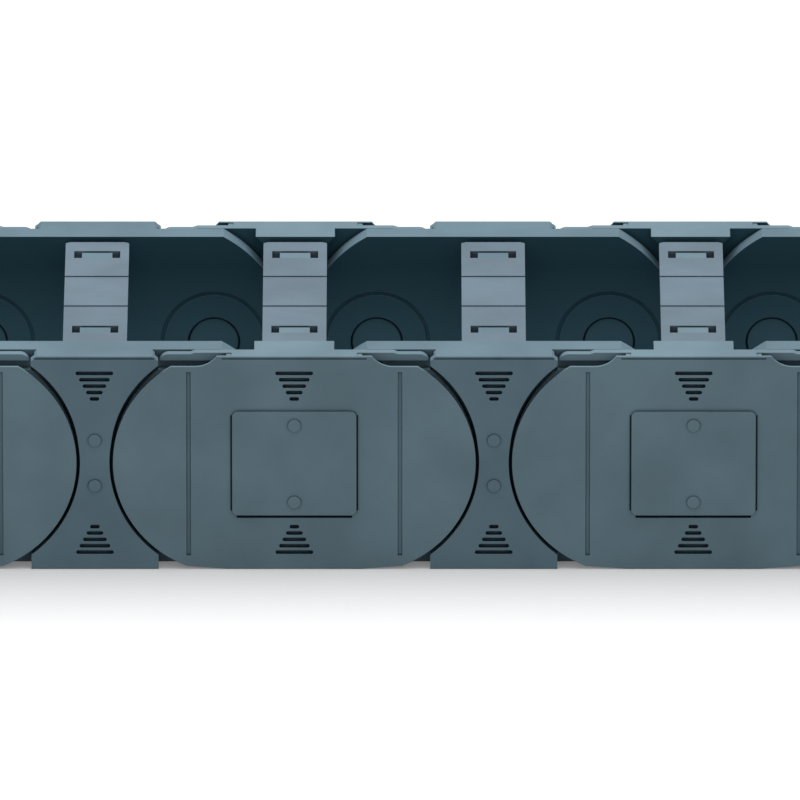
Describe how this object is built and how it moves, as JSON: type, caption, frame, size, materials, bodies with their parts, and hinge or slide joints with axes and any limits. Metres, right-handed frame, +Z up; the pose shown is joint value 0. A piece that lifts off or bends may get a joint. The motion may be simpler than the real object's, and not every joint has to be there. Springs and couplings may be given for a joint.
{
  "type": "cable drag chain",
  "caption": "Plastic cable drag chain of alternating narrow and wide links with hinged crossbars, between a fixed and a moving end bracket.",
  "frame": {"origin": "on the floor under the middle joint, halfway between the two rows of side plates", "axes": "+X along the chain from the fixed to the moving end, +Y to the left plates, +Z up"},
  "size_m": [0.77, 0.187, 0.103],
  "materials": {
    "plate": "fine grained grey moulding",
    "bar": "smooth grey moulding",
    "bracket": "fine grained grey moulding"
  },
  "bodies": {
    "fixed_end": {"fixed_end_left_arm": "bracket", "fixed_end_right_arm": "bracket", "fixed_end_top_tie": "bar", "fixed_end_bottom_tie": "bar"},
    "link_1": {"link_1_left_plate": "plate", "link_1_right_plate": "plate", "link_1_bottom_bar": "bar"},
    "link_1_lid": {"link_1_top_bar": "bar"},
    "link_2": {"link_2_left_plate": "plate", "link_2_right_plate": "plate", "link_2_bottom_bar": "bar"},
    "link_2_lid": {"link_2_top_bar": "bar"},
    "link_3": {"link_3_left_plate": "plate", "link_3_right_plate": "plate", "link_3_bottom_bar": "bar"},
    "link_3_lid": {"link_3_top_bar": "bar"},
    "link_4": {"link_4_left_plate": "plate", "link_4_right_plate": "plate", "link_4_bottom_bar": "bar"},
    "link_4_lid": {"link_4_top_bar": "bar"},
    "link_5": {"link_5_left_plate": "plate", "link_5_right_plate": "plate", "link_5_bottom_bar": "bar"},
    "link_5_lid": {"link_5_top_bar": "bar"},
    "link_6": {"link_6_left_plate": "plate", "link_6_right_plate": "plate", "link_6_bottom_bar": "bar"},
    "link_6_lid": {"link_6_top_bar": "bar"},
    "moving_end": {"moving_end_left_arm": "bracket", "moving_end_right_arm": "bracket", "moving_end_top_tie": "bar", "moving_end_bottom_tie": "bar"}
  },
  "joints": [
    {"name": "bend_1", "type": "hinge", "parent": "fixed_end", "child": "link_1", "pos_m": [-0.257, 0, 0.0515], "axis": [0, -1, 0], "range_deg": [0, 21]},
    {"name": "swing_1", "type": "hinge", "parent": "link_1", "child": "link_1_lid", "pos_m": [-0.2195, 0.0669, 0.0985], "axis": [1, 0, 0], "range_deg": [-90, 0]},
    {"name": "bend_2", "type": "hinge", "parent": "link_1", "child": "link_2", "pos_m": [-0.182, 0, 0.0515], "axis": [0, -1, 0], "range_deg": [0, 21]},
    {"name": "swing_2", "type": "hinge", "parent": "link_2", "child": "link_2_lid", "pos_m": [-0.1285, 0.0669, 0.0985], "axis": [1, 0, 0], "range_deg": [-90, 0]},
    {"name": "bend_3", "type": "hinge", "parent": "link_2", "child": "link_3", "pos_m": [-0.075, 0, 0.0515], "axis": [0, -1, 0], "range_deg": [0, 21]},
    {"name": "swing_3", "type": "hinge", "parent": "link_3", "child": "link_3_lid", "pos_m": [-0.0375, 0.0669, 0.0985], "axis": [1, 0, 0], "range_deg": [-90, 0]},
    {"name": "bend_4", "type": "hinge", "parent": "link_3", "child": "link_4", "pos_m": [0, 0, 0.0515], "axis": [0, -1, 0], "range_deg": [0, 21]},
    {"name": "swing_4", "type": "hinge", "parent": "link_4", "child": "link_4_lid", "pos_m": [0.0535, 0.0669, 0.0985], "axis": [1, 0, 0], "range_deg": [-90, 0]},
    {"name": "bend_5", "type": "hinge", "parent": "link_4", "child": "link_5", "pos_m": [0.107, 0, 0.0515], "axis": [0, -1, 0], "range_deg": [0, 21]},
    {"name": "swing_5", "type": "hinge", "parent": "link_5", "child": "link_5_lid", "pos_m": [0.1445, 0.0669, 0.0985], "axis": [1, 0, 0], "range_deg": [-90, 0]},
    {"name": "bend_6", "type": "hinge", "parent": "link_5", "child": "link_6", "pos_m": [0.182, 0, 0.0515], "axis": [0, -1, 0], "range_deg": [0, 21]},
    {"name": "swing_6", "type": "hinge", "parent": "link_6", "child": "link_6_lid", "pos_m": [0.2355, 0.0669, 0.0985], "axis": [1, 0, 0], "range_deg": [-90, 0]},
    {"name": "bend_7", "type": "hinge", "parent": "link_6", "child": "moving_end", "pos_m": [0.289, 0, 0.0515], "axis": [0, -1, 0], "range_deg": [0, 21]}
  ]
}
